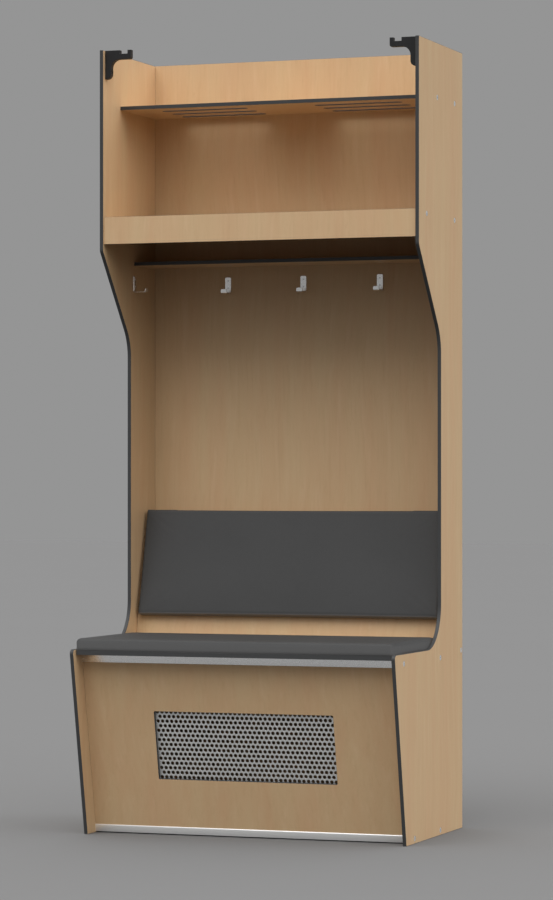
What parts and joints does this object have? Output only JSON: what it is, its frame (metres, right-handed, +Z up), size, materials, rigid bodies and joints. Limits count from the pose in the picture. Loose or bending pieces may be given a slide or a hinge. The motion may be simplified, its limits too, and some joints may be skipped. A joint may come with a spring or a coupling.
{
  "type": "sports locker",
  "caption": "Open changing-room locker of laminate boards with shelves, coat hooks, a leaning padded back and a cushioned lift-up seat over a ventilated foot locker.",
  "frame": {"origin": "on the floor, at the middle of the overall width and of the overall depth", "axes": "+X to the right of a person who faces the locker, +Y to its back, +Z up"},
  "size_m": [0.9144, 0.607, 2.1336],
  "materials": {
    "laminate": "satin light beech-patterned compact laminate with a dark core at the cut edges",
    "upholstery": "charcoal vinyl with a fine leather grain and sewn edges",
    "rail": "satin anodised",
    "grille": "satin perforated sheet",
    "hook": "brushed",
    "hinge": "plain",
    "bracket": "fine-textured black powder coat",
    "screw": "countersunk heads, satin"
  },
  "bodies": {
    "cabinet": {"side_panel_left": "laminate", "side_panel_right": "laminate", "back_panel": "laminate", "top_shelf": "laminate", "middle_shelf": "laminate", "shelf_fascia": "laminate", "hook_shelf": "laminate", "locker_floor": "laminate", "front_panel": "laminate", "backrest_board": "laminate", "backrest_rib_left": "laminate", "backrest_rib_centre": "laminate", "backrest_rib_right": "laminate", "seat_ledge": "laminate", "backrest_pad": "upholstery", "front_rail_bottom": "rail", "front_rail_top": "rail", "rear_rail_bottom": "rail", "rear_rail_top": "rail", "vent_grille": "grille", "coat_hook_back_left": "hook", "coat_hook_back_centre": "hook", "coat_hook_back_right": "hook", "coat_hook_left_wall": "hook", "coat_hook_right_wall": "hook", "hinge_fixed_leaf": "hinge", "hinge_pin": "hinge", "bracket_left": "bracket", "bracket_right": "bracket", "side_screws": "screw", "back_screws": "screw", "hook_screws": "screw", "bracket_screws": "screw", "grille_screws": "screw"},
    "seat": {"seat_board": "laminate", "seat_cushion": "upholstery", "hinge_moving_leaf": "hinge"}
  },
  "joints": [
    {"name": "seat_lift", "type": "hinge", "parent": "cabinet", "child": "seat", "pos_m": [0, 0.09847, 0.5044], "axis": [-1, 0, 0], "range_deg": [0, 84]}
  ]
}
